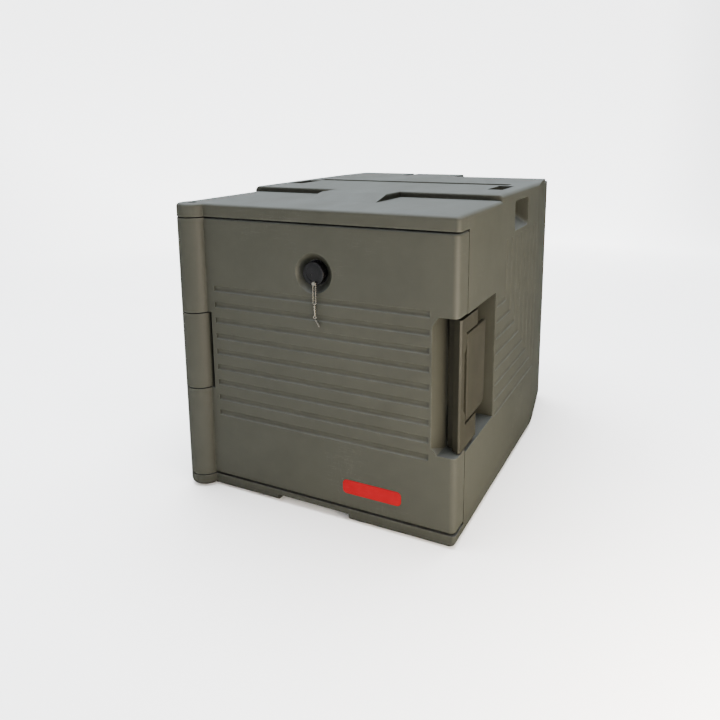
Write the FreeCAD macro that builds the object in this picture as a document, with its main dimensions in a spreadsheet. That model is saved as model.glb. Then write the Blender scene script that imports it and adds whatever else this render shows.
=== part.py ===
"""Insulated food carrier, front loading, for full-size gastronorm pans.

Double-wall plastic case with foam between its outer shell and its pan
compartment, a hinged insulated door with a vent cap, and a side latch.
All sub-parts are modelled in a working frame whose Y = 0 plane is the flat
front of the door and whose Z = 0 plane is the floor.  Every sub-part's
Placement then moves it to the row frame: origin at the centre of the
bottom of the bounding box, +X to the right of the door, +Y to the back,
+Z up.  Millimetres.
"""
import FreeCAD
import Part
import ast
import math
import os
import re
import Sketcher

doc = FreeCAD.newDocument("InsulatedFoodCarrier")
sheet = doc.addObject("Spreadsheet::Sheet", "dims")
V = {}


def dim(alias, value, note):
    """One driving dimension: a plain number in the sheet, with an alias."""
    r = len(V) + 1
    sheet.set("A%d" % r, note)
    sheet.set("B%d" % r, repr(float(value)))
    sheet.setAlias("B%d" % r, alias)
    V[alias] = float(value)


# ---- driving dimensions --------------------------------------------------
dim("shift_x", 1, "row frame: X of the working frame's origin")
dim("shift_y", -301, "row frame: Y of the working frame's origin")
dim("case_left", -228, "left face of the case")
dim("case_right", 230, "right face of the case")
dim("case_front", 37.5, "front plane of the case behind the door")
dim("case_back", 621, "back face of the case")
dim("case_under", 2, "underside of the case above the floor")
dim("taper_start", 440, "where the sides start to draw in")
dim("taper_draw", 21, "how far each side draws in at the back")
dim("back_round", 25, "radius of the upright back corners")
dim("sill_top", 20.5, "top of the sill under the door")
dim("lip_under", 446.5, "underside of the lip over the door")
dim("deck_top", 467, "top of the front deck")
dim("plat_top", 476.5, "top of the raised stacking platform")
dim("plat_front", 200, "front step of the stacking platform")
dim("top_round", 9, "radius of the long top edges")
dim("under_round", 10, "radius of the long bottom edges")
dim("wall_case", 4, "wall of the case's outer shell")
dim("foam_top_front", 461, "top of the foam under the deck")
dim("foam_top", 466, "top of the foam under the platform")
dim("foam_under", 8, "bottom of the foam")
dim("cab_left", -172, "left wall of the pan compartment")
dim("cab_right", 174, "right wall of the pan compartment")
dim("cab_floor", 52, "floor of the pan compartment")
dim("cab_roof", 420, "roof of the pan compartment")
dim("cab_back", 588, "back wall of the pan compartment")
dim("cab_round", 14, "corner radius of the pan compartment")
dim("wall_cab", 3, "wall of the pan compartment")
dim("rail_depth", 13, "how far a pan rail stands in")
dim("rail_thick", 9, "height of a pan rail")
dim("rail_first", 112, "underside of the lowest rail")
dim("rail_pitch", 66, "rail to rail")
dim("hinge_x", -207, "hinge axis")
dim("hinge_y", 6, "hinge axis")
dim("barrel_rad", 25, "outside radius of the hinge barrels")
dim("pin_rad", 4, "hinge pin radius")
dim("pin_bore", 4.05, "hinge bore radius")
dim("knuckle_low_top", 170, "top of the door's lower barrel")
dim("knuckle_mid_low", 172, "bottom of the case's middle barrel")
dim("knuckle_mid_top", 294, "top of the case's middle barrel")
dim("knuckle_high_low", 296, "bottom of the door's upper barrel")
dim("door_right", 229.5, "right edge of the door")
dim("door_low", 22.5, "bottom edge of the door")
dim("door_high", 444.5, "top edge of the door")
dim("door_back", 36, "back plane of the door")
dim("door_wall", 5, "front wall of the door shell")
dim("door_side_wall", 3.5, "edge wall of the door shell")
dim("door_mid_left", -176, "door edge beside the middle barrel")
dim("door_front_round", 4, "radius of the door's front edges")
dim("door_corner_round", 9, "radius of the door's right front edge")
dim("panel_thick", 3, "door inner panel")
dim("plug_left", -165, "door plug, left")
dim("plug_right", 167, "door plug, right")
dim("plug_low", 59, "door plug, bottom")
dim("plug_high", 413, "door plug, top")
dim("plug_back", 50, "door plug, back face")
dim("seal_out", 4.2, "how far the seal stands out of the plug")
dim("rib_first", 130.5, "lowest door groove")
dim("rib_pitch", 25.5, "groove to groove")
dim("rib_rad", 6.4, "groove cutter radius")
dim("rib_depth", 2.3, "groove depth")
dim("rib_left", -168, "left end of the door grooves")
dim("rib_right", 189.5, "right end of the door grooves")
dim("vent_x", 12, "vent axis")
dim("vent_z", 374, "vent axis")
dim("dish_rad", 30, "vent dish radius at the door front")
dim("dish_floor_rad", 19.5, "vent dish floor radius")
dim("dish_depth", 11, "vent dish depth")
dim("sleeve_rad", 12, "vent sleeve outside radius")
dim("sleeve_bore", 9.1, "vent sleeve bore radius")
dim("cap_rad", 17.5, "vent cap radius")
dim("notch_left", 193, "latch notch, left edge at the door front")
dim("notch_vee", 204, "latch notch, bottom of the vee")
dim("notch_low", 136, "latch notch, bottom")
dim("notch_high", 332, "latch notch, top")
dim("recess_floor", 196, "latch recess, floor")
dim("recess_back", 172, "latch recess, rear wall")
dim("recess_low", 131, "latch recess, bottom")
dim("recess_high", 331, "latch recess, top")
dim("lever_x", 217, "latch lever axis")
dim("lever_y", 46, "latch lever axis")
dim("hook_x", 214, "latch hook axis")
dim("hook_y", 58, "latch hook axis")
dim("rod_rad", 2.5, "latch rod radius")
dim("rod_bore", 2.55, "latch rod bore radius")
dim("latch_face", 229.5, "outer face of the latch")
dim("latch_plate", 6, "thickness of the latch plates")
dim("grip_front", 272, "side grip, front")
dim("grip_back", 362, "side grip, back")
dim("grip_low", 411, "side grip, bottom at the mouth")
dim("grip_high", 460, "side grip, top")
dim("grip_depth", 50, "side grip, depth")
dim("bar_width", 24, "side grip, width of the bar")
dim("foot_rad", 16, "foot radius")
doc.recompute()

RXP = re.compile(r"[A-Za-z_]\w*")


def E(text):
    """Expression text with the sheet's name before every alias."""
    return RXP.sub(lambda m: "dims." + m.group(0) if m.group(0) in V
                   else m.group(0), str(text))


def num(text):
    """Value of a sum, difference or product of aliases and numbers."""
    def walk(n):
        if isinstance(n, ast.Constant):
            return float(n.value)
        if isinstance(n, ast.Name):
            return V[n.id]
        if isinstance(n, ast.UnaryOp):
            return -walk(n.operand)
        a, b = walk(n.left), walk(n.right)
        if isinstance(n.op, ast.Add):
            return a + b
        if isinstance(n.op, ast.Sub):
            return a - b
        if isinstance(n.op, ast.Mult):
            return a * b
        return a / b
    return walk(ast.parse(str(text)).body[0].value)


def box(name, x0, x1, y0, y1, z0, z1):
    b = doc.addObject("Part::Box", name)
    b.setExpression("Placement.Base.x", E(x0))
    b.setExpression("Placement.Base.y", E(y0))
    b.setExpression("Placement.Base.z", E(z0))
    b.setExpression("Length", E("(%s)-(%s)" % (x1, x0)))
    b.setExpression("Width", E("(%s)-(%s)" % (y1, y0)))
    b.setExpression("Height", E("(%s)-(%s)" % (z1, z0)))
    return b


ROT = {"z": FreeCAD.Rotation(),
       "x": FreeCAD.Rotation(FreeCAD.Vector(0, 1, 0), 90),
       "y": FreeCAD.Rotation(FreeCAD.Vector(1, 0, 0), -90)}


def place(o, axis, x, y, z):
    o.Placement = FreeCAD.Placement(FreeCAD.Vector(0, 0, 0), ROT[axis])
    o.setExpression("Placement.Base.x", E(x))
    o.setExpression("Placement.Base.y", E(y))
    o.setExpression("Placement.Base.z", E(z))
    return o


def rod(name, axis, x, y, z, rad, length):
    """Cylinder from (x, y, z) along +axis."""
    c = doc.addObject("Part::Cylinder", name)
    c.setExpression("Radius", E(rad))
    c.setExpression("Height", E(length))
    return place(c, axis, x, y, z)


def cone(name, axis, x, y, z, r1, r2, length):
    c = doc.addObject("Part::Cone", name)
    c.setExpression("Radius1", E(r1))
    c.setExpression("Radius2", E(r2))
    c.setExpression("Height", E(length))
    return place(c, axis, x, y, z)


def ball(name, x, y, z, rad):
    s = doc.addObject("Part::Sphere", name)
    s.setExpression("Radius", E(rad))
    return place(s, "z", x, y, z)


def torus(name, axis, x, y, z, big, small):
    t = doc.addObject("Part::Torus", name)
    t.setExpression("Radius1", E(big))
    t.setExpression("Radius2", E(small))
    return place(t, axis, x, y, z)


def plane_of(body, role):
    for f in body.Origin.OriginFeatures:
        if f.Role == role:
            return f
    raise RuntimeError("no plane " + role)


# sketch axes: XY -> (x, y), pads to +Z; XZ -> (x, z), pads to -Y;
# YZ -> (y, z), pads to +X
def new_sketch(body, name, role, start):
    sk = body.newObject("Sketcher::SketchObject", name)
    sk.AttachmentSupport = [(plane_of(body, role), "")]
    sk.MapMode = "FlatFace"
    sign = "-" if role == "XZ_Plane" else ""
    sk.setExpression(".AttachmentOffset.Base.z", E("%s(%s)" % (sign, start)))
    return sk


def poly(name, role, pts, start, end):
    """Body with one pad of a closed polygon between two planes."""
    body = doc.addObject("PartDesign::Body", name)
    first = end if role == "XZ_Plane" else start
    sk = new_sketch(body, name + "_sketch", role, first)
    P = [FreeCAD.Vector(num(a), num(b), 0) for a, b in pts]
    n = len(P)
    for i in range(n):
        sk.addGeometry(Part.LineSegment(P[i], P[(i + 1) % n]), False)
    for i in range(n):
        sk.addConstraint(Sketcher.Constraint("Coincident", i, 2, (i + 1) % n, 1))
    for i in range(n):
        k = sk.addConstraint(Sketcher.Constraint("DistanceX", -1, 1, i, 1, P[i].x))
        sk.setExpression("Constraints[%d]" % k, E(pts[i][0]))
        k = sk.addConstraint(Sketcher.Constraint("DistanceY", -1, 1, i, 1, P[i].y))
        sk.setExpression("Constraints[%d]" % k, E(pts[i][1]))
    pad = body.newObject("PartDesign::Pad", name + "_pad")
    pad.Profile = sk
    pad.setExpression("Length", E("(%s)-(%s)" % (end, start)))
    body.Tip = pad
    return body


def round_rect(name, role, a0, a1, b0, b1, r_low, r_high, start, end):
    """Body with one pad of a rounded rectangle between two planes."""
    body = doc.addObject("PartDesign::Body", name)
    first = end if role == "XZ_Plane" else start
    sk = new_sketch(body, name + "_sketch", role, first)
    x0, x1, z0, z1 = num(a0), num(a1), num(b0), num(b1)
    rl, rh = num(r_low), num(r_high)
    v = FreeCAD.Vector
    sk.addGeometry(Part.LineSegment(v(x0 + rl, z0, 0), v(x1 - rl, z0, 0)), False)
    sk.addGeometry(Part.LineSegment(v(x1, z0 + rl, 0), v(x1, z1 - rh, 0)), False)
    sk.addGeometry(Part.LineSegment(v(x1 - rh, z1, 0), v(x0 + rh, z1, 0)), False)
    sk.addGeometry(Part.LineSegment(v(x0, z1 - rh, 0), v(x0, z0 + rl, 0)), False)
    ax = v(0, 0, 1)
    q = math.pi / 2
    sk.addGeometry(Part.ArcOfCircle(Part.Circle(v(x1 - rl, z0 + rl, 0), ax, rl), -q, 0), False)
    sk.addGeometry(Part.ArcOfCircle(Part.Circle(v(x1 - rh, z1 - rh, 0), ax, rh), 0, q), False)
    sk.addGeometry(Part.ArcOfCircle(Part.Circle(v(x0 + rh, z1 - rh, 0), ax, rh), q, 2 * q), False)
    sk.addGeometry(Part.ArcOfCircle(Part.Circle(v(x0 + rl, z0 + rl, 0), ax, rl), 2 * q, 3 * q), False)
    C = Sketcher.Constraint
    for a, pa, b, pb in ((0, 2, 4, 1), (4, 2, 1, 1), (1, 2, 5, 1), (5, 2, 2, 1),
                         (2, 2, 6, 1), (6, 2, 3, 1), (3, 2, 7, 1), (7, 2, 0, 1)):
        sk.addConstraint(C("Tangent", a, pa, b, pb))
    sk.addConstraint(C("Horizontal", 0))
    sk.addConstraint(C("Horizontal", 2))
    sk.addConstraint(C("Vertical", 1))
    sk.addConstraint(C("Vertical", 3))
    for kind, geo, val, text in (("DistanceX", 3, x0, a0), ("DistanceX", 1, x1, a1),
                                 ("DistanceY", 0, z0, b0), ("DistanceY", 2, z1, b1)):
        k = sk.addConstraint(C(kind, -1, 1, geo, 1, val))
        sk.setExpression("Constraints[%d]" % k, E(text))
    for geo, val, text in ((4, rl, r_low), (7, rl, r_low), (5, rh, r_high), (6, rh, r_high)):
        k = sk.addConstraint(C("Radius", geo, val))
        sk.setExpression("Constraints[%d]" % k, E(text))
    pad = body.newObject("PartDesign::Pad", name + "_pad")
    pad.Profile = sk
    pad.setExpression("Length", E("(%s)-(%s)" % (end, start)))
    body.Tip = pad
    return body


def edges_where(shape, test):
    out = []
    for i, e in enumerate(shape.Edges):
        b = e.BoundBox
        if test(b, e):
            out.append("Edge%d" % (i + 1))
    return out


def body_fillet(body, radius, test, tag):
    """PartDesign fillet on the edges of the tip that the test picks."""
    doc.recompute()
    base = body.Tip
    names = edges_where(base.Shape, test)
    if not names:
        raise RuntimeError("no edges for " + tag)
    f = body.newObject("PartDesign::Fillet", body.Name + "_" + tag)
    f.Base = (base, names)
    f.setExpression("Radius", E(radius))
    body.Tip = f
    doc.recompute()
    return body


def round_edges(base, radius, test, tag):
    """Part fillet on the edges of a shape that the test picks."""
    doc.recompute()
    ids = [int(n[4:]) for n in edges_where(base.Shape, test)]
    if not ids:
        raise RuntimeError("no edges for " + tag)
    f = doc.addObject("Part::Fillet", tag)
    f.Base = base
    r = num(radius)
    f.Edges = [(i, r, r) for i in ids]
    doc.recompute()
    return f


def fuse(name, parts):
    f = doc.addObject("Part::MultiFuse", name)
    f.Shapes = parts
    f.Refine = True
    return f


def cut(name, base, tool):
    c = doc.addObject("Part::Cut", name)
    c.Base = base
    c.Tool = tool
    c.Refine = True
    return c


def common(name, parts):
    c = doc.addObject("Part::MultiCommon", name)
    c.Shapes = parts
    c.Refine = True
    return c


NODES = []


def node(obj, label):
    """Name a finished sub-part and move it to the row frame."""
    holder = doc.addObject("Part::Compound", "node_" + label)
    holder.Links = [obj]
    holder.Label = label
    holder.setExpression("Placement.Base.x", "dims.shift_x")
    holder.setExpression("Placement.Base.y", "dims.shift_y")
    NODES.append(holder)
    return holder


near = lambda a, b: abs(a - b) < 0.05
L, R = "case_left", "case_right"

# ==== the case ============================================================
# foam space: plan outline inside the shell
inner_plan = poly("foam_plan", "XY_Plane",
                  [("case_left+wall_case", "case_front"), ("case_right-wall_case", "case_front"),
                   ("case_right-wall_case", "taper_start-2"),
                   ("case_right-taper_draw-wall_case", "case_back-wall_case"),
                   ("case_left+taper_draw+wall_case", "case_back-wall_case"),
                   ("case_left+wall_case", "taper_start-2")], "foam_under", "foam_top")
body_fillet(inner_plan, "back_round-4",
            lambda b, e: b.YMin > V["case_back"] - 10 and b.ZLength > 100, "corners")
hollow_off = fuse("foam_exclusions", [
    box("deck_step_space", "-300", "300", "0", "plat_front+6", "foam_top_front", "foam_top+1"),
    box("latch_recess_wall", "recess_floor-3.5", "300", "0", "recess_back+3.5",
        "recess_low-3.5", "recess_high+3.5"),
    poly("rear_bevel_wall", "YZ_Plane",
         [("455", "0"), ("700", "0"), ("700", "30"), ("case_back", "24"), ("470", "foam_under"),
          ("455", "foam_under")], "-300", "300"),
    box("under_recess_wall", "-66", "68", "0", "144", "0", "16.5"),
    box("hinge_anchor", "-300", "-186", "0", "46", "knuckle_mid_low-6", "knuckle_mid_top+6"),
    poly("grip_wall_right", "XZ_Plane",
         [("300", "grip_low-4"), ("case_right", "grip_low-4"),
          ("case_right-grip_depth-4", "grip_high-24"),
          ("case_right-grip_depth-4", "600"), ("300", "600")],
         "grip_front-4", "grip_back+4"),
    poly("grip_wall_left", "XZ_Plane",
         [("-300", "grip_low-4"), ("case_left", "grip_low-4"),
          ("case_left+grip_depth+4", "grip_high-24"),
          ("case_left+grip_depth+4", "600"), ("-300", "600")],
         "grip_front-4", "grip_back+4")])
foam_space = cut("foam_space", inner_plan, hollow_off)

# front frame, with the deck on top and the sill below
front_frame = round_rect("front_frame", "XZ_Plane", L, R, "case_under", "deck_top",
                         "under_round", "top_round-2", "0", "plat_front+6")
body_fillet(front_frame, "6", lambda b, e: b.YMax < 0.01, "front_edges")
# main block, with the platform on top
main_block = round_rect("main_block", "XZ_Plane", L, R, "case_under", "plat_top",
                        "under_round", "top_round", "plat_front", "case_back")
body_fillet(main_block, "4",
            lambda b, e: near(b.YMin, V["plat_front"]) and near(b.YMax, V["plat_front"])
            and b.ZMin > V["plat_top"] - 0.1, "step_edge")
outer_plan = poly("outer_plan", "XY_Plane",
                  [(L, "plat_front-5"), (R, "plat_front-5"), (R, "taper_start"),
                   ("case_right-taper_draw", "case_back"), ("case_left+taper_draw", "case_back"),
                   (L, "taper_start")], "0", "500")
body_fillet(outer_plan, "back_round",
            lambda b, e: b.YMin > V["case_back"] - 1 and b.ZLength > 100, "corners")
side_view = poly("side_view", "YZ_Plane",
                 [("plat_front-5", "case_under"), ("466", "case_under"), ("case_back", "18"),
                  ("case_back", "plat_top-8"), ("case_back-8", "plat_top"),
                  ("plat_front-5", "plat_top+5")], "-300", "300")
main_shaped = common("main_shaped", [main_block, outer_plan, side_view])
# stacking tongue with its sloping front
tongue = poly("tongue", "YZ_Plane",
              [("plat_front+6", "deck_top-3"), ("plat_front+6", "plat_top"), ("148", "plat_top"),
               ("106", "deck_top"), ("106", "deck_top-3")], "-58", "60")
body_fillet(tongue, "3", lambda b, e: b.ZMin > V["deck_top"] + 0.5 and b.YMin < 150
            and not (near(b.XLength, 0) and near(b.ZLength, 0) and b.YMin < 140), "soft")
# hinge lugs and the middle barrel
lug_top = round_edges(rod("lug_top_raw", "z", "hinge_x", "hinge_y", "lip_under", "barrel_rad",
                          "deck_top-lip_under"), "5",
                      lambda b, e: b.ZMin > V["deck_top"] - 0.1, "lug_top")
lug_low = round_edges(rod("lug_low_raw", "z", "hinge_x", "hinge_y", "case_under", "barrel_rad",
                          "sill_top-case_under"), "8",
                      lambda b, e: b.ZMax < V["case_under"] + 0.1, "lug_low")
door_bay = box("door_bay", "-300", "300", "-10", "case_front", "sill_top", "lip_under")
frame_cut = cut("frame_cut", front_frame, door_bay)
mid_barrel = rod("mid_barrel", "z", "hinge_x", "hinge_y", "knuckle_mid_low", "barrel_rad",
                 "knuckle_mid_top-knuckle_mid_low")
mid_web = box("mid_web", "case_left", "hinge_x+barrel_rad", "hinge_y", "case_front+2",
              "knuckle_mid_low", "knuckle_mid_top")
case_solid = fuse("case_solid", [frame_cut, main_shaped, tongue, lug_top, lug_low,
                                 mid_barrel, mid_web])

# cuts in the case
tools = [foam_space]
tools.append(box("latch_recess", "recess_floor", "300", "case_front-2", "recess_back",
                 "recess_low", "recess_high"))
for side, edge, s in (("right", "case_right", "-"), ("left", "case_left", "+")):
    far = "300" if side == "right" else "-300"
    grip = poly("grip_space_" + side, "XZ_Plane",
                [(far, "grip_low"), (edge, "grip_low"),
                 ("%s%sgrip_depth" % (edge, s), "grip_high-18"),
                 ("%s%sgrip_depth" % (edge, s), "grip_high"), (far, "grip_high")],
                "grip_front", "grip_back")
    body_fillet(grip, "7", lambda b, e: b.XLength > 20 and near(b.YLength, 0), "corners")
    tools.append(grip)
    a, b = "%s%sgrip_depth" % (edge, s), "%s%sbar_width" % (edge, s)
    if num(a) > num(b):
        a, b = b, a
    tools.append(box("grip_top_" + side, a, b, "grip_front+8", "grip_back-6",
                     "grip_high-2", "500"))
# transverse stacking groove between the grips
tools.append(poly("top_groove", "YZ_Plane",
                  [("368", "plat_top+1"), ("368", "plat_top"), ("373", "plat_top-6.5"),
                   ("392", "plat_top-6.5"), ("394", "plat_top"), ("394", "plat_top+1")],
                  "-190", "192"))
tools.append(box("rear_drop_right", "28", "300", "552", "700", "plat_top-8", "600"))
tools.append(box("rear_drop_mid", "-88", "-77", "552", "700", "plat_top-5", "600"))
# stacking recess under the sill
tools.append(poly("under_recess", "YZ_Plane",
                  [("-60", "0"), ("-60", "12"), ("106", "12"), ("140", "0")], "-62", "64"))
# side grooves, one nest of elbows on each side
cutter = []
for side, edge, s in (("r", "case_right", "+"), ("l", "case_left", "-")):
    cx = "%s%s(rib_rad-rib_depth+0.4)" % (edge, s)
    for k in range(8):
        yy = "taper_start-%d" % (30 * k)
        zz = "rib_first+%d*rib_pitch" % k
        y0 = "recess_back+8"
        cutter.append(rod("elbow_up_%s%d" % (side, k), "z", cx, yy, zz, "rib_rad",
                          "403-(%s)" % zz))
        cutter.append(rod("elbow_on_%s%d" % (side, k), "y", cx, y0, zz, "rib_rad",
                          "(%s)-(%s)" % (yy, y0)))
        cutter.append(ball("elbow_at_%s%d" % (side, k), cx, yy, zz, "rib_rad"))
tools.append(fuse("elbow_cutters", cutter))
# feet pockets and screw holes, hinge bores
FEET = (("front_left", "-198", "46"), ("front_right", "200", "46"),
        ("rear_left", "-190", "462"), ("rear_right", "192", "462"))
for nm, fx, fy in FEET:
    tools.append(rod("foot_pocket_" + nm, "z", fx, fy, "0", "foot_rad+0.1", "5"))
    tools.append(rod("foot_drill_" + nm, "z", fx, fy, "4", "2.5", "6"))
tools.append(rod("pin_hole", "z", "hinge_x", "hinge_y", "6", "pin_bore", "453"))
tools.append(rod("pin_cap_hole", "z", "hinge_x", "hinge_y", "459", "7", "10"))
SCREWS = [("70", "166"), ("70", "216"), ("70", "262"), ("70", "312")]
for i, (sy, sz) in enumerate(SCREWS):
    tools.append(rod("bracket_drill_%d" % i, "x", "recess_floor-3.6", sy, sz, "2.1", "4"))
case_tools = fuse("case_tools", tools)
outer_shell = cut("outer_shell_cut", case_solid, case_tools)
node(outer_shell, "outer_shell")

# pan compartment
tub_out = round_rect("tub_out", "XZ_Plane", "cab_left-wall_cab", "cab_right+wall_cab",
                     "cab_floor-wall_cab", "cab_roof+wall_cab", "cab_round+3", "cab_round+3",
                     "case_front", "cab_back+wall_cab")
tub_in = round_rect("tub_in", "XZ_Plane", "cab_left", "cab_right", "cab_floor", "cab_roof",
                    "cab_round", "cab_round", "case_front-1", "cab_back")
flange_slab = box("flange_slab", "-300", "300", "case_front-1", "case_front+3", "0", "500")
flange = common("flange", [foam_space, flange_slab])
rails = []
for k in range(5):
    z0 = "rail_first+%d*rail_pitch" % k
    z1 = "rail_first+rail_thick+%d*rail_pitch" % k
    rails.append(box("rail_left_%d" % k, "cab_left-1", "cab_left+rail_depth",
                     "case_front+20", "cab_back+1", z0, z1))
    rails.append(box("rail_right_%d" % k, "cab_right-rail_depth", "cab_right+1",
                     "case_front+20", "cab_back+1", z0, z1))
tub_walls = cut("tub_walls", fuse("tub_solid", [tub_out, flange]), tub_in)
liner = fuse("liner", [tub_walls] + rails)
node(liner, "inner_liner")

# foam
foam_front = box("foam_front", "-300", "300", "0", "case_front+3", "0", "500")
foot_bores = [rod("foam_drill_" + nm, "z", fx, fy, "0", "2.5", "14.1") for nm, fx, fy in FEET]
foam = cut("foam", foam_space, fuse("foam_tools", [foam_front, tub_out] + foot_bores))
node(foam, "body_foam")

# feet and their screws
foot_screws = []
for nm, fx, fy in FEET:
    pad = round_edges(rod("foot_raw_" + nm, "z", fx, fy, "0", "foot_rad", "5"), "1.2",
                      lambda b, e: b.ZMax < 0.1, "foot_round_" + nm)
    bore = fuse("foot_bore_" + nm, [rod("foot_bore_a_" + nm, "z", fx, fy, "-1", "2.6", "8"),
                                    rod("foot_bore_b_" + nm, "z", fx, fy, "-1", "5.2", "3.5")])
    node(cut("foot_cut_" + nm, pad, bore), "foot_" + nm)
    foot_screws.append(fuse("foot_screw_" + nm, [
        rod("foot_screw_head_" + nm, "z", fx, fy, "0.8", "4.5", "1.7"),
        rod("foot_screw_shank_" + nm, "z", fx, fy, "2", "2.4", "12")]))
screws_a = doc.addObject("Part::Compound", "foot_screws_group")
screws_a.Links = foot_screws
node(screws_a, "foot_screws")

# hinge pin, its cap and the thrust washers
pin = round_edges(rod("pin_raw", "z", "hinge_x", "hinge_y", "7", "pin_rad", "451.5"), "0.8",
                  lambda b, e: near(b.ZLength, 0), "pin_round")
node(pin, "hinge_pin")
pin_cap = round_edges(rod("pin_cap_raw", "z", "hinge_x", "hinge_y", "459", "6.9", "3.6"), "1",
                      lambda b, e: b.ZMin > 462, "pin_cap_round")
node(pin_cap, "hinge_pin_cap")
for nm, z in (("lower", "sill_top"), ("upper", "knuckle_mid_top")):
    node(cut("washer_cut_" + nm, rod("washer_raw_" + nm, "z", "hinge_x", "hinge_y", z, "12", "1.9"),
             rod("washer_bore_" + nm, "z", "hinge_x", "hinge_y", z, "pin_bore+0.1", "3")),
         "hinge_washer_" + nm)

# latch bracket in the recess
LX, LY = "lever_x", "lever_y"
ear = []
for nm, z in (("low", "184"), ("high", "287")):
    ear.append(box("ear_box_" + nm, "recess_floor+1", LX, "lever_y-5.5", "lever_y+5.5", z, z + "+6"))
    ear.append(rod("ear_end_" + nm, "z", LX, LY, z, "5.5", "6"))
bracket_solid = fuse("bracket_solid", [
    box("bracket_plate", "recess_floor", "recess_floor+3.5", "39.5", "79", "158", "320")] + ear)
bracket_holes = [rod("ear_bore", "z", LX, LY, "150", "rod_bore", "200")]
for i, (sy, sz) in enumerate(SCREWS):
    bracket_holes.append(rod("bracket_hole_%d" % i, "x", "recess_floor-1", sy, sz, "2.1", "6"))
bracket = cut("bracket_cut", bracket_solid, fuse("bracket_holes", bracket_holes))
node(bracket, "latch_bracket")
screws = []
for i, (sy, sz) in enumerate(SCREWS):
    head = round_edges(rod("bracket_screw_head_%d" % i, "x", "recess_floor+3.5", sy, sz, "4", "2.4"),
                       "1.4", lambda b, e: b.XMin > V["recess_floor"] + 5.8, "bs_head_%d" % i)
    screws.append(fuse("bracket_screw_%d" % i, [
        head, rod("bracket_screw_shank_%d" % i, "x", "recess_floor-3.4", sy, sz, "2", "7")]))
screws_b = doc.addObject("Part::Compound", "bracket_screws_group")
screws_b.Links = screws
node(screws_b, "latch_bracket_screws")
lever_rod = round_edges(rod("lever_rod_raw", "z", LX, LY, "174", "rod_rad", "129"), "0.5",
                        lambda b, e: near(b.ZLength, 0), "lever_rod")
node(lever_rod, "lever_pivot_rod")

# ==== the latch ===========================================================
FX = "latch_face"
BX = "latch_face-latch_plate"
paddle = poly("paddle", "YZ_Plane",
              [("41.5", "175"), ("123", "175"), ("123", "302"), ("41.5", "302")], BX, FX)
body_fillet(paddle, "18", lambda b, e: b.XLength > 5 and near(b.YLength, 0)
            and near(b.ZLength, 0) and b.YMin > 110 and b.ZMin < 185, "low_corner")
body_fillet(paddle, "1.6", lambda b, e: b.XMin > V["latch_face"] - 0.05, "face_edges")
ribs = []
for nm, z in (("low", "175"), ("high", "296")):
    ribs.append(box("lever_rib_" + nm, "hook_x-6.5", "latch_face-latch_plate+1", "lever_y-4.5",
                    "hook_y+6.5", z, z + "+6"))
grip_ridge = box("paddle_lip", "latch_face-latch_plate-6", "latch_face-latch_plate+1",
                 "113", "117", "190", "292")
lever_solid = fuse("lever_solid", [paddle, grip_ridge] + ribs)
lever = cut("lever_cut", lever_solid, fuse("lever_bores", [
    rod("lever_bore_a", "z", LX, LY, "170", "rod_bore", "140"),
    rod("lever_bore_b", "z", "hook_x", "hook_y", "170", "rod_bore", "140")]))
node(lever, "latch_lever")
hook_rod = round_edges(rod("hook_rod_raw", "z", "hook_x", "hook_y", "165", "rod_rad", "147"), "0.5",
                       lambda b, e: near(b.ZLength, 0), "hook_rod")
node(hook_rod, "hook_pivot_rod")

nose = poly("hook_nose", "XY_Plane",
            [("207", "31.5"), ("207.5", "27.5"), ("215.5", "25.5"), ("217", "19.5"),
             ("226.5", "14.5"), (FX, "16.5"), (FX, "28.5"), ("222", "30"), ("213", "31.5")],
            "138", "327")
arm_low = box("hook_arm_low", BX, FX, "27", "84", "138", "172")
arm_high = box("hook_arm_high", BX, FX, "27", "84", "305", "327")
fill_low = poly("hook_fill_low", "YZ_Plane",
                [("27", "170"), ("36.5", "170"), ("36.5", "184"), ("31", "194"), ("27", "194")],
                BX, FX)
fill_high = poly("hook_fill_high", "YZ_Plane",
                 [("27", "307"), ("36.5", "307"), ("36.5", "290"), ("31", "279"), ("27", "279")],
                 BX, FX)
lugs = []
for nm, z in (("low", "166"), ("high", "305")):
    lugs.append(box("hook_lug_" + nm, "hook_x", "latch_face-latch_plate+1", "hook_y-7",
                    "hook_y+7", z, z + "+6"))
    lugs.append(rod("hook_lug_end_" + nm, "z", "hook_x", "hook_y", z, "7", "6"))
hook = cut("hook_cut", fuse("hook_solid", [nose, arm_low, arm_high, fill_low, fill_high] + lugs),
           rod("hook_bore", "z", "hook_x", "hook_y", "160", "rod_bore", "160"))
node(hook, "latch_hook")

# ==== the door ============================================================
slab = poly("door_slab", "XZ_Plane",
            [("hinge_x", "door_low"), ("door_right", "door_low"), ("door_right", "door_high"),
             ("hinge_x", "door_high"), ("hinge_x", "knuckle_high_low"),
             ("door_mid_left", "knuckle_high_low"), ("door_mid_left", "knuckle_low_top"),
             ("hinge_x", "knuckle_low_top")], "0", "door_back")
body_fillet(slab, "door_corner_round",
            lambda b, e: b.YMax < 0.01 and near(b.XMin, V["door_right"]), "right_edge")
body_fillet(slab, "door_front_round",
            lambda b, e: b.YMin < 0.01 and b.YMax < V["door_corner_round"] + 0.1
            and (near(b.ZMin, V["door_low"]) and near(b.ZMax, V["door_low"])
                 or near(b.ZMin, V["door_high"]) and near(b.ZMax, V["door_high"])), "long_edges")
knuckles = [
    rod("door_barrel_low", "z", "hinge_x", "hinge_y", "door_low", "barrel_rad",
        "knuckle_low_top-door_low"),
    rod("door_barrel_high", "z", "hinge_x", "hinge_y", "knuckle_high_low", "barrel_rad",
        "door_high-knuckle_high_low")]
door_solid = fuse("door_solid", [slab] + knuckles)


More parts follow.
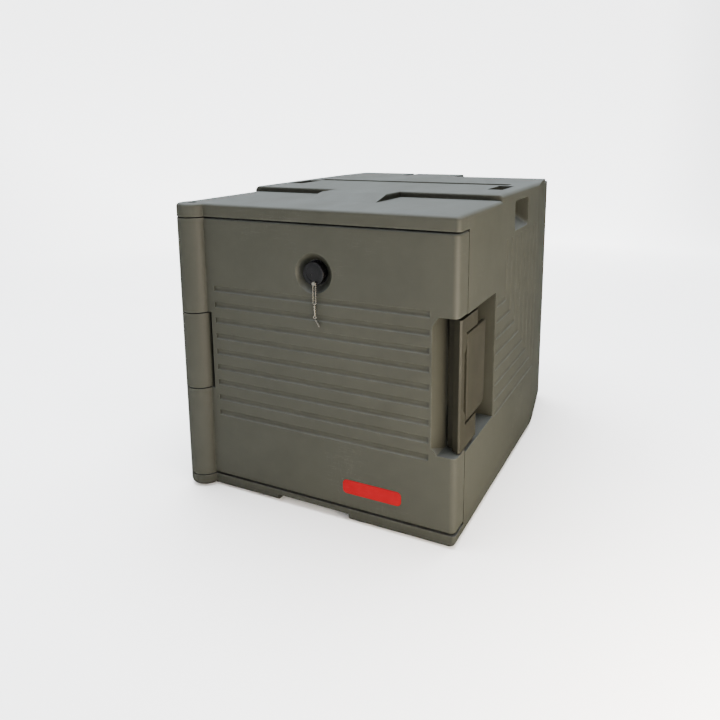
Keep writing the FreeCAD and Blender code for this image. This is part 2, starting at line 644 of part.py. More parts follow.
def cee(name, x0, x1, z0, z1, notch_x, n0, n1, y0, y1):
    """Door outline with the latch notch left out."""
    return poly(name, "XZ_Plane",
                [(x0, z0), (x1, z0), (x1, n0), (notch_x, n0), (notch_x, n1), (x1, n1),
                 (x1, z1), (x0, z1)], y0, y1)


CEE = ("door_mid_left+door_side_wall", "224.5", "door_low+door_side_wall",
       "door_high-door_side_wall", "notch_left-4.5", "notch_low-4", "notch_high+4")
door_space = cee("door_space", *CEE, "door_wall", "door_back+5")
dish_wall = rod("dish_wall", "y", "vent_x", "-1", "vent_z", "dish_rad+4", "dish_depth+4.5")
door_hollow = cut("door_hollow", door_space, dish_wall)
notch_plan = poly("notch_plan", "XY_Plane",
                  [("notch_left", "-5"), ("notch_left", "0"), ("notch_vee", "32"),
                   ("notch_vee", "50"), ("260", "50"), ("260", "-5")], "100", "360")
notch_face = poly("notch_face", "XZ_Plane",
                  [("notch_left-0.5", "notch_low+10"), ("notch_left+9", "notch_low"),
                   ("260", "notch_low"), ("260", "notch_high"), ("notch_left+9", "notch_high"),
                   ("notch_left-0.5", "notch_high-15")], "-6", "60")
notch = common("notch", [notch_plan, notch_face])
dish = cone("dish", "y", "vent_x", "-0.01", "vent_z", "dish_rad", "dish_floor_rad",
            "dish_depth+0.01")
vent_hole = rod("vent_hole", "y", "vent_x", "-1", "vent_z", "sleeve_rad+0.05", "80")
door_tools = [door_hollow, notch, dish, vent_hole,
              rod("door_bore", "z", "hinge_x", "hinge_y", "0", "pin_bore", "500")]
grooves = []
for k in range(9):
    grooves.append(rod("door_rib_%d" % k, "x", "rib_left", "rib_depth-rib_rad",
                       "rib_first+%d*rib_pitch" % k, "rib_rad", "rib_right-rib_left"))
door_tools += grooves
door_tools.append(round_rect("label_seat", "XZ_Plane", "55", "149", "45.5", "67.5", "7", "7",
                             "-1", "0.8"))
door_shell = cut("door_shell_cut", door_solid, fuse("door_tools", door_tools))
node(door_shell, "door_shell")

plug_out = round_rect("plug_out", "XZ_Plane", "plug_left", "plug_right", "plug_low", "plug_high",
                      "12", "12", "door_back-panel_thick", "plug_back")
plug_in = round_rect("plug_in", "XZ_Plane", "plug_left+3", "plug_right-3", "plug_low+3",
                     "plug_high-3", "9", "9", "door_back-panel_thick-1", "plug_back-3")
panel_plate = cee("panel_plate", *CEE, "door_back-panel_thick", "door_back")
panel = cut("panel_cut", fuse("panel_solid", [panel_plate, plug_out]),
            fuse("panel_tools", [plug_in, rod("panel_vent", "y", "vent_x", "0", "vent_z",
                                             "sleeve_rad+0.05", "80")]))
node(panel, "door_inner_panel")

foam_a = cee("door_foam_a", *CEE, "door_wall", "door_back-panel_thick")
foam_b = round_rect("door_foam_b", "XZ_Plane", "plug_left+3", "plug_right-3", "plug_low+3",
                    "plug_high-3", "9", "9", "door_back-panel_thick-1", "plug_back-3")
door_foam = cut("door_foam_cut", fuse("door_foam_solid", [foam_a, foam_b]),
                fuse("door_foam_tools", [
                    rod("dish_wall_b", "y", "vent_x", "-1", "vent_z", "dish_rad+4",
                        "dish_depth+4.5"),
                    rod("foam_vent", "y", "vent_x", "0", "vent_z", "sleeve_rad+0.05", "80")]))
node(door_foam, "door_foam")

seal_ring = cut("seal_ring",
                round_rect("seal_out_body", "XZ_Plane", "plug_left-seal_out", "plug_right+seal_out",
                           "plug_low-seal_out", "plug_high+seal_out", "16", "16", "38", "46"),
                round_rect("seal_in_body", "XZ_Plane", "plug_left", "plug_right", "plug_low",
                           "plug_high", "12", "12", "37", "47"))
node(seal_ring, "door_seal")

sleeve = cut("sleeve_cut",
             fuse("sleeve_solid", [
                 rod("sleeve_tube", "y", "vent_x", "dish_depth-1.2", "vent_z", "sleeve_rad",
                     "plug_back+5-dish_depth+1.2"),
                 rod("sleeve_flange", "y", "vent_x", "dish_depth-1.2", "vent_z", "18.5", "1.2")]),
             rod("sleeve_bore_cut", "y", "vent_x", "0", "vent_z", "sleeve_bore", "80"))
node(sleeve, "vent_sleeve")
nut = cut("vent_nut_cut",
          round_edges(rod("vent_nut_raw", "y", "vent_x", "plug_back", "vent_z", "18", "5"), "1.5",
                      lambda b, e: b.YMin > V["plug_back"] + 4.9, "vent_nut_round"),
          rod("vent_nut_bore", "y", "vent_x", "plug_back-1", "vent_z", "sleeve_rad+0.05", "10"))
node(nut, "vent_nut")
label = round_edges(
    round_rect("label_raw", "XZ_Plane", "55.3", "148.7", "45.8", "67.2", "6.7", "6.7",
               "-0.6", "0.8"), "0.4", lambda b, e: b.YMax < -0.55, "label_round")
node(label, "label_plate")

# ==== vent cap and its chain ==============================================
cap_pts = []
for k in range(12):
    a = math.radians(15 + 30 * k)
    cap_pts.append(("vent_x+cap_rad*%.6f" % math.cos(a), "vent_z+cap_rad*%.6f" % math.sin(a)))
cap_head = poly("cap_head", "XZ_Plane", cap_pts, "-1.5", "7")
body_fillet(cap_head, "1.5", lambda b, e: b.YMax < -1.4, "cap_edges")
cap = cut("vent_cap_cut",
          fuse("vent_cap_solid", [cap_head,
                                  rod("cap_stem", "y", "vent_x", "6.5", "vent_z", "9.05", "22")]),
          fuse("cap_tools", [rod("cap_dimple", "y", "vent_x", "-2", "vent_z", "11", "1.2"),
                             rod("stud_hole", "y", "15", "-2", "360.5", "1.02", "4")]))
node(cap, "vent_cap")
node(torus("vent_seal_ring", "y", "vent_x", "8.3", "vent_z", "13", "1.05"), "vent_seal")
CX, CY, CZ = "15", "-3.6", "360.5"
stud = fuse("chain_stud_solid", [rod("stud_shank", "y", CX, "-5.6", CZ, "1", "7.4"),
                                 rod("stud_head", "y", CX, "-6.4", CZ, "2.6", "1.2")])
node(round_edges(stud, "0.4", lambda b, e: b.YMax < -6.3, "stud_round"), "chain_stud")


def bent_tube(path_pts_arcs, rad):
    """Solid tube along lines and arcs."""
    wire = Part.Wire([g.toShape() for g in path_pts_arcs])
    start = path_pts_arcs[0]
    p, d = start.value(start.FirstParameter), start.tangent(start.FirstParameter)[0]
    prof = Part.Wire([Part.Circle(p, d, rad).toShape()])
    return wire.makePipeShell([prof], True, False)


v = FreeCAD.Vector
cx, cy = 15.0, -3.6
hi, lo, half = 360.5, 332.0, 2.2
loop = doc.addObject("Part::Feature", "bead_chain_loop")
left = [Part.LineSegment(v(cx - half, cy, lo), v(cx - half, cy, hi)),
        Part.Arc(v(cx - half, cy, hi), v(cx, cy, hi + half), v(cx + half, cy, hi)),
        Part.LineSegment(v(cx + half, cy, hi), v(cx + half, cy, lo))]
upper = bent_tube(left, 1.1)
lower = bent_tube([Part.Arc(v(cx - half, cy, lo), v(cx, cy, lo - half), v(cx + half, cy, lo))], 1.1)
loop.Shape = upper.fuse(lower).removeSplitter()
node(loop, "bead_chain")
coupling = round_edges(rod("coupling_raw", "z", CX, CY, "320.5", "1.7", "8"), "0.7",
                       lambda b, e: near(b.ZLength, 0), "coupling_round")
node(coupling, "chain_coupling")
link = fuse("chain_link_solid", [rod("link_wire", "z", CX, CY, "313.2", "0.9", "7.3"),
                                 torus("link_ring", "y", CX, CY, "311", "2", "0.7")])
node(link, "chain_link")
bar = doc.addObject("Part::Cylinder", "toggle_raw")
bar.Radius = 1.2
bar.Height = 11.5
bar.Placement = FreeCAD.Placement(v(cx + 1.2, cy, 307.4),
                                  FreeCAD.Rotation(v(0, 1, 0), 180 - 33))
bar_round = round_edges(bar, "0.5", lambda b, e: e.Curve.TypeId == "Part::GeomCircle",
                        "toggle_round")
node(bar_round, "toggle_bar")

doc.recompute()

# ==== checks and export ===================================================
for o in doc.Objects:
    if "Invalid" in o.State or "Error" in o.State:
        raise RuntimeError("failed object: %s %s" % (o.Name, o.State))
os.makedirs("parts", exist_ok=True)
low = [1e9] * 3
high = [-1e9] * 3
for n in NODES:
    s = n.Shape
    if s.isNull() or not s.isValid() or not s.Solids:
        raise RuntimeError("bad shape: " + n.Label)
    b = s.BoundBox
    low = [min(low[0], b.XMin), min(low[1], b.YMin), min(low[2], b.ZMin)]
    high = [max(high[0], b.XMax), max(high[1], b.YMax), max(high[2], b.ZMax)]
    s.exportStep("parts/%s.step" % n.Label)
    print("%-22s solids %d  volume %.1f cm3  x %.1f..%.1f y %.1f..%.1f z %.1f..%.1f" % (
        n.Label, len(s.Solids), s.Volume / 1000, b.XMin, b.XMax, b.YMin, b.YMax, b.ZMin, b.ZMax))
print("box", [round(a, 2) for a in low], [round(a, 2) for a in high], len(NODES), "nodes")
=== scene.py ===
import bpy
import bmesh
import math
from mathutils import Matrix, Vector


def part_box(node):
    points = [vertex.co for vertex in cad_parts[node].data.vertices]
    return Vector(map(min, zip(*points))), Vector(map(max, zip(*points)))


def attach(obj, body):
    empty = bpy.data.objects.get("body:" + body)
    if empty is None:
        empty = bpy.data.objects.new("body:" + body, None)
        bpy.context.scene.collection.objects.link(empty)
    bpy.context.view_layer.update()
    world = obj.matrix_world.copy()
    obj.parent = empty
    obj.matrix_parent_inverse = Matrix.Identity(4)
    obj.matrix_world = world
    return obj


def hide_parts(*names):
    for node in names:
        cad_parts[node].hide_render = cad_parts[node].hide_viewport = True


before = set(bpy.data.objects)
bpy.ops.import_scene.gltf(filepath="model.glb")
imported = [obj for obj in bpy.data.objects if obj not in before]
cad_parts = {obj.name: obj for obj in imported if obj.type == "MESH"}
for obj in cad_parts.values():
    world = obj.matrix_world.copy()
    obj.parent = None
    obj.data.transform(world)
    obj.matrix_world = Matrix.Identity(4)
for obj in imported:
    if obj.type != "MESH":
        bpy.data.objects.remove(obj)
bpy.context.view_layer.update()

# The CAD model's working frame has its door front at Y = 0; this is where
# that frame's origin lies in the row frame, in millimetres.
OX, OY = 1.0, -301.0


def P(x, y, z):
    """Working-frame millimetres to row-frame metres."""
    return Vector(((x + OX) / 1000, (y + OY) / 1000, z / 1000))


# ---------------------------------------------------------------- camera
def make_camera():
    az, el, roll = math.radians(27.06), math.radians(10.92), math.radians(-0.52)
    back = Vector((math.sin(az) * math.cos(el), -math.cos(az) * math.cos(el), math.sin(el)))
    fwd = -back
    right = fwd.cross(Vector((0, 0, 1))).normalized()
    up = right.cross(fwd)
    r2 = right * math.cos(roll) + up * math.sin(roll)
    u2 = up * math.cos(roll) - right * math.sin(roll)
    m = Matrix((r2, u2, back)).transposed().to_4x4()
    m.translation = P(501.9, -812.35, 575.89)
    cam = bpy.data.objects.new("camera", bpy.data.cameras.new("camera"))
    bpy.context.scene.collection.objects.link(cam)
    cam.matrix_world = m
    cam.data.sensor_width = 36
    cam.data.lens = 36 * 678.61 / 720
    cam.data.shift_y = -(360 - 260) / 720
    cam.data.clip_start, cam.data.clip_end = 0.02, 60
    bpy.context.scene.camera = cam


make_camera()


# ---------------------------------------------------------------- node helpers
class Tree:
    def __init__(self, name):
        self.mat = bpy.data.materials.new(name)
        self.mat.use_nodes = True
        self.nt = self.mat.node_tree
        self.nt.nodes.clear()
        self.out = self.new("ShaderNodeOutputMaterial")
        self.bsdf = self.new("ShaderNodeBsdfPrincipled")
        self.nt.links.new(self.bsdf.outputs[0], self.out.inputs[0])
        self.coord = self.new("ShaderNodeTexCoord").outputs["Object"]

    def new(self, kind, **props):
        n = self.nt.nodes.new(kind)
        for k, v in props.items():
            setattr(n, k, v)
        return n

    def link(self, a, b):
        self.nt.links.new(a, b)

    def put(self, node, sock, v):
        if isinstance(v, bpy.types.NodeSocket):
            self.link(v, node.inputs[sock])
        else:
            node.inputs[sock].default_value = v

    def math(self, op, a, b=0.0, clamp=False):
        n = self.new("ShaderNodeMath", operation=op, use_clamp=clamp)
        self.put(n, 0, a)
        self.put(n, 1, b)
        return n.outputs[0]

    def mapped(self, scale, vec=None, rot=(0, 0, 0)):
        n = self.new("ShaderNodeMapping")
        self.link(vec or self.coord, n.inputs["Vector"])
        n.inputs["Scale"].default_value = scale
        n.inputs["Rotation"].default_value = rot
        return n.outputs[0]

    def noise(self, scale, detail=2.0, rough=0.5, vec=None, dist=0.0):
        n = self.new("ShaderNodeTexNoise")
        self.link(vec or self.coord, n.inputs["Vector"])
        n.inputs["Scale"].default_value = scale
        n.inputs["Detail"].default_value = detail
        n.inputs["Roughness"].default_value = rough
        n.inputs["Distortion"].default_value = dist
        return n.outputs["Fac"]

    def voronoi(self, scale, vec=None, feature="F1"):
        n = self.new("ShaderNodeTexVoronoi", feature=feature)
        self.link(vec or self.coord, n.inputs["Vector"])
        n.inputs["Scale"].default_value = scale
        return n.outputs["Distance"]

    def ramp(self, fac, stops):
        n = self.new("ShaderNodeValToRGB")
        self.link(fac, n.inputs[0])
        el = n.color_ramp.elements
        while len(el) < len(stops):
            el.new(0.5)
        for e, (pos, col) in zip(el, stops):
            e.position = pos
            e.color = (col, col, col, 1) if isinstance(col, (int, float)) else (*col, 1)
        return n.outputs[0]

    def span(self, fac, lo, hi, to_lo, to_hi):
        n = self.new("ShaderNodeMapRange", clamp=True)
        self.put(n, 0, fac)
        for i, v in enumerate((lo, hi, to_lo, to_hi)):
            n.inputs[i + 1].default_value = v
        return n.outputs[0]

    def mix(self, fac, a, b, blend="MIX"):
        n = self.new("ShaderNodeMix", data_type="RGBA", blend_type=blend)
        self.put(n, 0, fac)
        for s, v in ((6, a), (7, b)):
            if isinstance(v, bpy.types.NodeSocket):
                self.link(v, n.inputs[s])
            else:
                n.inputs[s].default_value = (*v[:3], 1)
        return n.outputs[2]

    def bump(self, height, strength, distance, normal=None):
        n = self.new("ShaderNodeBump")
        n.inputs["Strength"].default_value = strength
        n.inputs["Distance"].default_value = distance
        self.link(height, n.inputs["Height"])
        if normal is not None:
            self.link(normal, n.inputs["Normal"])
        return n.outputs[0]

    def finish(self, color, rough, normal=None, metallic=0.0, spec=0.5, coat=0.0,
               coat_rough=0.1, ior=1.5, satin=0.0):
        b = self.bsdf.inputs
        b["IOR"].default_value = ior
        self.put(self.bsdf, "Base Color", color if isinstance(color, bpy.types.NodeSocket)
                 else (*color[:3], 1))
        self.put(self.bsdf, "Roughness", rough)
        b["Metallic"].default_value = metallic
        b["Specular IOR Level"].default_value = spec
        b["Coat Weight"].default_value = coat
        b["Coat Roughness"].default_value = coat_rough
        if normal is not None:
            self.link(normal, b["Normal"])
        if satin:
            # an even satin lobe, so a dark face seen edge-on stays dark
            lobe = self.new("ShaderNodeBsdfGlossy")
            lobe.inputs["Color"].default_value = (1, 1, 1, 1)
            self.put(lobe, "Roughness", rough)
            if normal is not None:
                self.link(normal, lobe.inputs["Normal"])
            both = self.new("ShaderNodeMixShader")
            both.inputs[0].default_value = satin
            self.link(self.bsdf.outputs[0], both.inputs[1])
            self.link(lobe.outputs[0], both.inputs[2])
            self.link(both.outputs[0], self.out.inputs[0])
        return self.mat


def scratches(t, scale, stretch, rot, width, cover):
    """Mask of thin straight scuffs: stretched noise, cut to thin lines."""
    v = t.mapped(stretch, rot=rot)
    a = t.noise(scale, 3, 0.55, vec=v)
    line = t.math("ABSOLUTE", t.math("SUBTRACT", a, 0.5))
    line = t.span(line, 0.0, width, 1.0, 0.0)
    where = t.span(t.noise(9, 3, 0.6), cover, cover + 0.12, 0.0, 1.0)
    return t.math("MULTIPLY", line, where)


def moulded_case(name, base, rough=0.48, edge=0.004, top_dust_sheen_tint=(2.6, 2.8, 3.7)):
    """Rotationally moulded polyethylene: fine orange peel, faint mottling, paler rubbed edges that are
    partly a painted edge highlight, a few long scuffs, a little dust with a painted bluish sheen on upward
    faces, and painted shade in seams and recesses."""
    t = Tree(name)
    big = t.noise(5.5, 3, 0.6)
    mid = t.noise(42, 4, 0.6)
    fine = t.noise(900, 2, 0.5)
    grain = t.voronoi(1500)
    col = t.mix(t.span(big, 0.35, 0.68, 0, 1), tuple(c * 0.93 for c in base),
                tuple(min(1, c * 1.08) for c in base))
    col = t.mix(t.span(mid, 0.3, 0.75, 0, 0.35), col, tuple(min(1, c * 1.22) for c in base))
    col = t.mix(t.span(grain, 0.0, 0.7, 0.10, 0.0), col, tuple(c * 0.55 for c in base))
    # rubbed edges, paler; the paler edges are also a painted edge highlight standing in for the lamp's glint
    # on rounded edges
    bev = t.new("ShaderNodeBevel", samples=4)
    bev.inputs["Radius"].default_value = edge
    geo = t.new("ShaderNodeNewGeometry")
    dot = t.new("ShaderNodeVectorMath", operation="DOT_PRODUCT")
    t.link(bev.outputs[0], dot.inputs[0])
    t.link(geo.outputs["Normal"], dot.inputs[1])
    edge_wear_and_highlight = t.span(dot.outputs["Value"], 0.985, 0.86, 0.0, 1.0)
    edge_wear_and_highlight = t.math("MULTIPLY", edge_wear_and_highlight, t.span(t.noise(55, 4, 0.65), 0.42, 0.66, 0.15, 1.0))
    pale = tuple(min(1, c * 1.9 + 0.02) for c in base)
    col = t.mix(t.math("MULTIPLY", edge_wear_and_highlight, 0.45), col, pale)
    # scuffs
    s1 = scratches(t, 26, (0.5, 1, 7), (0, 0.05, 0.3), 0.012, 0.56)
    s2 = scratches(t, 30, (6, 1, 0.6), (0.1, 0.5, 0), 0.010, 0.60)
    sc = t.math("MAXIMUM", s1, s2)
    col = t.mix(t.math("MULTIPLY", sc, 0.22), col, pale)
    # dust and rubbing on what faces up, plus a painted bluish sheen: upward faces are painted lighter, as
    # the overhead lamp would light them
    updir = t.new("ShaderNodeSeparateXYZ")
    t.link(geo.outputs["Normal"], updir.inputs[0])
    dust_and_sheen = t.span(updir.outputs["Z"], 0.35, 0.98, 0.0, 1.0)
    patch = t.noise(11, 5, 0.62, vec=t.mapped((1, 0.35, 1)))
    dust_and_sheen = t.math("MULTIPLY", dust_and_sheen, t.span(patch, 0.32, 0.68, 0.72, 1.0))
    col = t.mix(dust_and_sheen, col, tuple(min(1, c * k) for c, k in zip(base, top_dust_sheen_tint)))
    # painted shade: seams, recesses and inner corners darkened by ambient occlusion, as the light would fall
    # there, mottled a little by noise
    nook = t.new("ShaderNodeAmbientOcclusion", samples=6)
    nook.inputs["Distance"].default_value = 0.035
    painted_crevice_shade = t.span(nook.outputs["AO"], 0.25, 0.95, 0.80, 0.0)
    painted_crevice_shade = t.math("MULTIPLY", painted_crevice_shade, t.span(mid, 0.3, 0.7, 0.85, 1.0))
    col = t.mix(painted_crevice_shade, col, tuple(c * 0.22 for c in base))
    rg = t.span(big, 0.3, 0.7, rough - 0.05, rough + 0.06)
    rg = t.math("ADD", rg, t.span(fine, 0.3, 0.7, -0.03, 0.03))
    rg = t.math("ADD", rg, t.math("MULTIPLY", sc, 0.12), clamp=True)
    h = t.math("ADD", t.math("MULTIPLY", fine, 0.6), t.math("MULTIPLY", grain, 0.5))
    h = t.math("SUBTRACT", h, t.math("MULTIPLY", sc, 0.35))
    nrm = t.bump(h, 0.55, 0.00016)
    nrm = t.bump(t.noise(70, 2, 0.5), 0.25, 0.0006, nrm)
    return t.finish(col, rg, nrm, spec=0.0, satin=0.008)


def smooth_plastic(name, base, rough=0.38, var=0.12, grain=1400, bump=0.00006, spec=0.5, ior=1.3, satin=0.0):
    t = Tree(name)
    big = t.noise(18, 3, 0.6)
    fine = t.noise(grain, 2, 0.5)
    col = t.mix(t.span(big, 0.3, 0.7, 0, 1), tuple(c * (1 - var) for c in base),
                tuple(min(1, c * (1 + var)) for c in base))
    sc = scratches(t, 40, (0.6, 1, 8), (0, 0.2, 0.4), 0.012, 0.58)
    col = t.mix(t.math("MULTIPLY", sc, 0.25), col, tuple(min(1, c * 2 + 0.02) for c in base))
    rg = t.math("ADD", t.span(big, 0.3, 0.7, rough - 0.05, rough + 0.05),
                t.math("MULTIPLY", sc, 0.15), clamp=True)
    nrm = t.bump(t.math("ADD", fine, t.math("MULTIPLY", sc, -0.3)), 0.5, bump)
    return t.finish(col, rg, nrm, spec=spec, ior=ior, satin=satin)


def metal(name, base, rough, stretch=(1, 1, 14), scale=160):
    t = Tree(name)
    v = t.mapped(stretch)
    n = t.noise(scale, 4, 0.6, vec=v)
    spots = t.noise(90, 3, 0.6)
    col = t.mix(t.span(n, 0.3, 0.7, 0, 1), tuple(c * 0.82 for c in base), base)
    col = t.mix(t.span(spots, 0.6, 0.75, 0, 0.35), col, tuple(c * 0.5 for c in base))
    rg = t.span(n, 0.3, 0.7, rough - 0.06, rough + 0.08)
    return t.finish(col, rg, t.bump(n, 0.3, 0.00003), metallic=1.0)


def rubber(name, base, rough=0.75):
    t = Tree(name)
    n = t.noise(600, 3, 0.6)
    big = t.noise(30, 3, 0.6)
    col = t.mix(t.span(big, 0.3, 0.75, 0, 1), base, tuple(min(1, c * 1.7 + 0.01) for c in base))
    return t.finish(col, t.span(n, 0.3, 0.7, rough - 0.08, rough + 0.08),
                    t.bump(n, 0.6, 0.00012), spec=0.35)


def foam_mat(name, base):
    t = Tree(name)
    cells = t.voronoi(900)
    n = t.noise(20, 3, 0.6)
    col = t.mix(t.span(cells, 0.0, 0.6, 0, 1), tuple(c * 0.7 for c in base), base)
    col = t.mix(t.span(n, 0.4, 0.8, 0, 0.4), col, tuple(c * 0.8 for c in base))
    return t.finish(col, 0.85, t.bump(cells, 0.8, 0.0005))


CASE = (0.0222, 0.0224, 0.0166)
mats = {
    "case": moulded_case("case_plastic", CASE),
    "liner": moulded_case("liner_plastic", (0.060, 0.059, 0.051), 0.48, top_dust_sheen_tint=(1.5, 1.5, 1.6)),
    "foam": foam_mat("foam", (0.50, 0.43, 0.25)),
    "latch": smooth_plastic("latch_plastic", (0.0135, 0.0127, 0.0084), 0.38, spec=0.0, satin=0.006),
    "steel": metal("steel", (0.36, 0.36, 0.35), 0.28),
    "chain": metal("chain_steel", (0.12, 0.113, 0.095), 0.24, (1, 1, 1), 400),
    "black": smooth_plastic("black_plastic", (0.0016, 0.0016, 0.0018), 0.24, 0.3, spec=0.0, satin=0.008),
    "seal": rubber("seal_rubber", (0.028, 0.028, 0.028)),
    "foot": rubber("foot_rubber", (0.010, 0.010, 0.010)),
    "washer": smooth_plastic("washer_plastic", (0.38, 0.38, 0.35), 0.4, 0.05),
    "label": smooth_plastic("label_red", (0.16, 0.0010, 0.0032), 0.3, 0.08, spec=0.0, satin=0.004),
}
NODE_MAT = {
    "outer_shell": "case", "door_shell": "case", "inner_liner": "liner",
    "door_inner_panel": "liner", "body_foam": "foam", "door_foam": "foam",
    "foot_front_left": "foot", "foot_front_right": "foot", "foot_rear_left": "foot",
    "foot_rear_right": "foot", "foot_screws": "steel", "hinge_pin": "steel",
    "hinge_pin_cap": "black", "hinge_washer_lower": "washer", "hinge_washer_upper": "washer",
    "latch_bracket": "latch", "latch_bracket_screws": "steel", "lever_pivot_rod": "steel",
    "latch_lever": "latch", "hook_pivot_rod": "steel", "latch_hook": "latch",
    "door_seal": "seal", "vent_sleeve": "black", "vent_nut": "black", "label_plate": "label",
    "vent_cap": "black", "vent_seal": "seal", "chain_stud": "chain", "bead_chain": "chain",
    "chain_coupling": "chain", "chain_link": "chain", "toggle_bar": "chain"}


def soften(o, width, angle=28, seg=3):
    """Rounds a CAD piece's hard edges with modifiers; its own mesh stays as it is."""
    w = o.modifiers.new("weld", "WELD")
    w.merge_threshold = 0.000002
    d = o.modifiers.new("planar", "DECIMATE")
    d.decimate_type = "DISSOLVE"
    d.angle_limit = math.radians(0.4)
    b = o.modifiers.new("round", "BEVEL")
    b.width = width
    b.segments = seg
    b.limit_method = "ANGLE"
    b.angle_limit = math.radians(angle)
    b.use_clamp_overlap = True
    b.harden_normals = False
    n = o.modifiers.new("normals", "WEIGHTED_NORMAL")
    n.keep_sharp = True
    n.weight = 80


SOFT = {"outer_shell": 0.0016, "door_shell": 0.0014, "latch_lever": 0.0008, "latch_hook": 0.0010,
        "latch_bracket": 0.0006, "inner_liner": 0.0012, "door_inner_panel": 0.0010,
        "vent_cap": 0.0005, "door_seal": 0.0008, "vent_sleeve": 0.0003, "vent_nut": 0.0004}
for name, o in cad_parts.items():
    for i in range(max(1, len(o.material_slots))):
        if not o.material_slots:
            o.data.materials.append(mats[NODE_MAT[name]])
        else:
            o.material_slots[i].link = "OBJECT"
            o.material_slots[i].material = mats[NODE_MAT[name]]
    if name in SOFT:
        soften(o, SOFT[name])


# ---------------------------------------------------------------- small parts
def ring_of_beads():
    """The loop of beads: balls on short wires, along the CAD loop's centreline."""
    lo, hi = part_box("bead_chain")
    r = 0.00108
    cx, cy = (lo.x + hi.x) / 2, (lo.y + hi.y) / 2
    half = (hi.x - lo.x) / 2 - 0.0011
    z1, z0 = hi.z - 0.0011 - half, lo.z + 0.0011 + half
    side = z1 - z0
    total = 2 * side + 2 * math.pi * half
    count = round(total / 0.00262)

    def at(d):
        d %= total
        if d < side:
            return Vector((cx + half, cy, z0 + d))
        d -= side
        if d < math.pi * half:
            a = d / half
            return Vector((cx + half * math.cos(a), cy, z1 + half * math.sin(a)))
        d -= math.pi * half
        if d < side:
            return Vector((cx - half, cy, z1 - d))
        a = math.pi + (d - side) / half
        return Vector((cx + half * math.cos(a), cy, z0 + half * math.sin(a)))

    bm = bmesh.new()
    for k in range(count):
        p = at(total * k / count)
        bmesh.ops.create_uvsphere(bm, u_segments=16, v_segments=10, radius=r,
                                  matrix=Matrix.Translation(p))
    steps = 160
    rings = []
    for k in range(steps):
        p, q = at(total * k / steps), at(total * (k + 0.5) / steps)
        t = (q - p).normalized()
        n = Vector((0, 1, 0))
        b = t.cross(n).normalized()
        rings.append([bm.verts.new(p + (n * math.cos(a) + b * math.sin(a)) * 0.00042)
                      for a in (math.pi * 2 * m / 8 for m in range(8))])
    for k in range(steps):
        a, b = rings[k], rings[(k + 1) % steps]
        for m in range(8):
            bm.faces.new((a[m], a[(m + 1) % 8], b[(m + 1) % 8], b[m]))
    return bm


def lathe(profile, seg=32):
    """Closed solid of revolution round Z from (radius, height) pairs, ends on the axis."""
    bm = bmesh.new()
    bot = bm.verts.new((0, 0, profile[0][1]))
    top = bm.verts.new((0, 0, profile[-1][1]))
    rows = [[bm.verts.new((r * math.cos(math.tau * k / seg), r * math.sin(math.tau * k / seg), z))
             for k in range(seg)] for r, z in profile]
    for k in range(seg):
        n = (k + 1) % seg
        bm.faces.new((bot, rows[0][n], rows[0][k]))
        bm.faces.new((top, rows[-1][k], rows[-1][n]))
        for a, b in zip(rows, rows[1:]):
            bm.faces.new((a[k], a[n], b[n], b[k]))
    return bm


def piece(name, bm, mat, body, nodes, smooth=40):
    bmesh.ops.recalc_face_normals(bm, faces=bm.faces)
    me = bpy.data.meshes.new(name)
    bm.to_mesh(me)
    bm.free()
    me.materials.append(mats[mat])
    for p in me.polygons:
        p.use_smooth = True
    me.set_sharp_from_angle(angle=math.radians(smooth))
    o = bpy.data.objects.new(name, me)
    bpy.context.scene.collection.objects.link(o)
    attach(o, body)
    if nodes:
        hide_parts(*nodes)
    return o


piece("bead_loop", ring_of_beads(), "chain", "chain", ["bead_chain"], 60)
lo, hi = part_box("chain_coupling")
c = (lo + hi) / 2
h = hi.z - lo.z
rr = (hi.x - lo.x) / 2
prof = [(0.35, 0.0), (0.75, 0.02), (0.95, 0.10), (1.0, 0.22), (0.96, 0.32), (0.66, 0.40),
        (0.60, 0.46), (0.60, 0.54), (0.66, 0.60), (0.96, 0.68), (1.0, 0.78), (0.95, 0.90),
        (0.75, 0.98), (0.35, 1.0)]
bm = lathe([(a * rr * 0.99, (b - 0.5) * h * 0.99) for a, b in prof])
bmesh.ops.translate(bm, verts=bm.verts, vec=c)
piece("coupling_barrel", bm, "chain", "chain", ["chain_coupling"], 60)


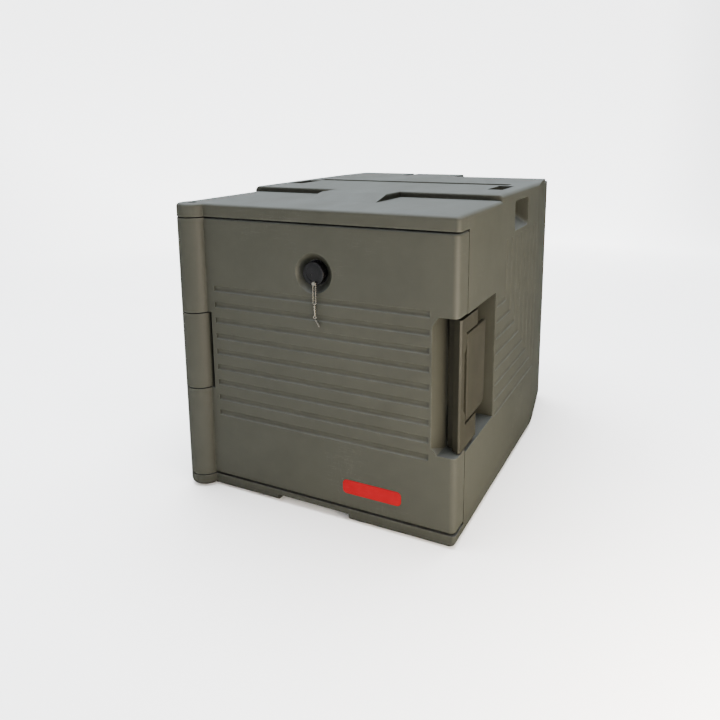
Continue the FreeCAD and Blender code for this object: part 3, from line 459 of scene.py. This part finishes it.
# ---------------------------------------------------------------- stage
t = Tree("floor_pale")
n = t.noise(3, 2, 0.5)
c = t.mix(t.span(n, 0.3, 0.7, 0, 1), (0.94, 0.94, 0.94), (0.95, 0.95, 0.95))
vl = t.new("ShaderNodeVectorMath", operation="LENGTH")
t.link(t.coord, vl.inputs[0])
glow = t.span(vl.outputs["Value"], 0.8, 2.4, 0.0, 1.0)
glow = t.math("MULTIPLY", glow, glow)
xyz = t.new("ShaderNodeSeparateXYZ")
t.link(t.coord, xyz.inputs[0])
glow = t.math("MULTIPLY", glow, t.span(xyz.outputs["X"], 0.1, 1.0, 1.0, 0.1))
glow = t.math("MULTIPLY", glow, t.span(xyz.outputs["Y"], 0.3, 2.4, 0.03, 1.0))
t.finish(c, 0.7, spec=0.1)
t.bsdf.inputs["Emission Color"].default_value = (1, 1, 1, 1)
t.link(t.math("MULTIPLY", glow, 1.9), t.bsdf.inputs["Emission Strength"])
floor_mat = t.mat

bm = bmesh.new()
reach, bend, seg = 6.0, 3.0, 96
prof = [(0.6, 0.0), (1.6, 0.0), (reach - bend, 0.0)]
for k in range(1, 17):
    a = k / 16 * math.pi / 2
    prof.append((reach - bend + bend * math.sin(a), bend - bend * math.cos(a)))
prof.append((reach, 7.0))
rows = [[bm.verts.new((q * math.cos(math.tau * k / seg), q * math.sin(math.tau * k / seg), z))
         for k in range(seg)] for q, z in prof]
bm.faces.new(rows[0])
for low_row, high_row in zip(rows, rows[1:]):
    for k in range(seg):
        bm.faces.new((low_row[k], low_row[(k + 1) % seg], high_row[(k + 1) % seg], high_row[k]))
bmesh.ops.recalc_face_normals(bm, faces=bm.faces)
me = bpy.data.meshes.new("floor")
bm.to_mesh(me)
bm.free()
floor = bpy.data.objects.new("floor", me)
for p in me.polygons:
    p.use_smooth = True
bpy.context.scene.collection.objects.link(floor)
me.materials.append(floor_mat)

world = bpy.data.worlds.new("studio")
bpy.context.scene.world = world
world.use_nodes = True
world.node_tree.nodes["Background"].inputs[0].default_value = (1, 1, 1, 1)
world.node_tree.nodes["Background"].inputs[1].default_value = 0.05


def area(name, loc, target, size, power, col=(1, 1, 1)):
    d = bpy.data.lights.new(name, "AREA")
    d.shape = "RECTANGLE"
    d.size, d.size_y = size
    d.energy = power
    d.color = col
    o = bpy.data.objects.new(name, d)
    bpy.context.scene.collection.objects.link(o)
    o.location = loc
    o.rotation_mode = "QUATERNION"
    o.rotation_quaternion = (Vector(target) - Vector(loc)).to_track_quat("-Z", "Y")


area("key_right", (0.90, -0.62, 0.22), (0.231, -0.20, 0.12), (0.45, 0.36), 24, (1.0, 0.87, 0.70))
area("top_soft", (-0.4, 0.3, 3.6), (-0.4, 0.3, 0), (3.6, 3.6), 640, (0.95, 0.97, 1.0))
area("fill_front", (1.3, -2.6, 0.9), (0, 0, 0.2), (1.6, 1.2), 6, (1.0, 0.99, 0.96))
